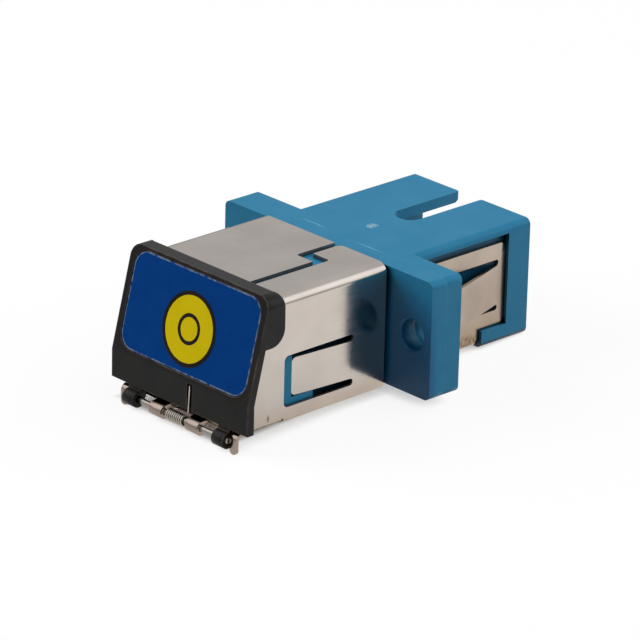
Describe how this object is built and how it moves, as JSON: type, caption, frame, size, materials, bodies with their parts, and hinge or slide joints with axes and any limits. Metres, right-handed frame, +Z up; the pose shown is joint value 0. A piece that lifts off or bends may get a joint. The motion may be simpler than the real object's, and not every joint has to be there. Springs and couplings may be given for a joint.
{
  "type": "fibre optic adapter",
  "caption": "Flanged fibre coupler with a key slot, panel clip and spring-closed hinged shutter over one port.",
  "frame": {"origin": "on the optical axis, at the front face of the flange", "axes": "+Y out of the open rear port, X along the flange, +Z up through the key slots"},
  "size_m": [0.022, 0.0296, 0.0118],
  "materials": {
    "blue_plastic": "satin moulded",
    "insert_plastic": "satin moulded",
    "zirconia": "ground ceramic",
    "spring_steel": "rolled",
    "nickel_sheet": "bright rolled",
    "steel_pin": "drawn bright",
    "spring_wire": "drawn",
    "black_plastic": "satin moulded",
    "label_film": "satin film"
  },
  "bodies": {
    "adapter": {"body_front": "blue_plastic", "body_rear": "blue_plastic", "latch_insert_front": "insert_plastic", "latch_insert_rear": "insert_plastic", "split_sleeve": "zirconia", "panel_clip": "spring_steel", "shutter_housing": "nickel_sheet", "hinge_pin": "steel_pin", "torsion_spring": "spring_wire"},
    "door": {"shutter_door": "black_plastic", "door_label": "label_film"}
  },
  "joints": [
    {"name": "door_hinge", "type": "hinge", "parent": "adapter", "child": "door", "pos_m": [0, -0.01427, -0.00544], "axis": [1, 0, 0], "range_deg": [0, 105], "stiffness_Nm_per_rad": 0.0002, "springref_deg": -68.75, "deforming": ["torsion_spring"]}
  ]
}
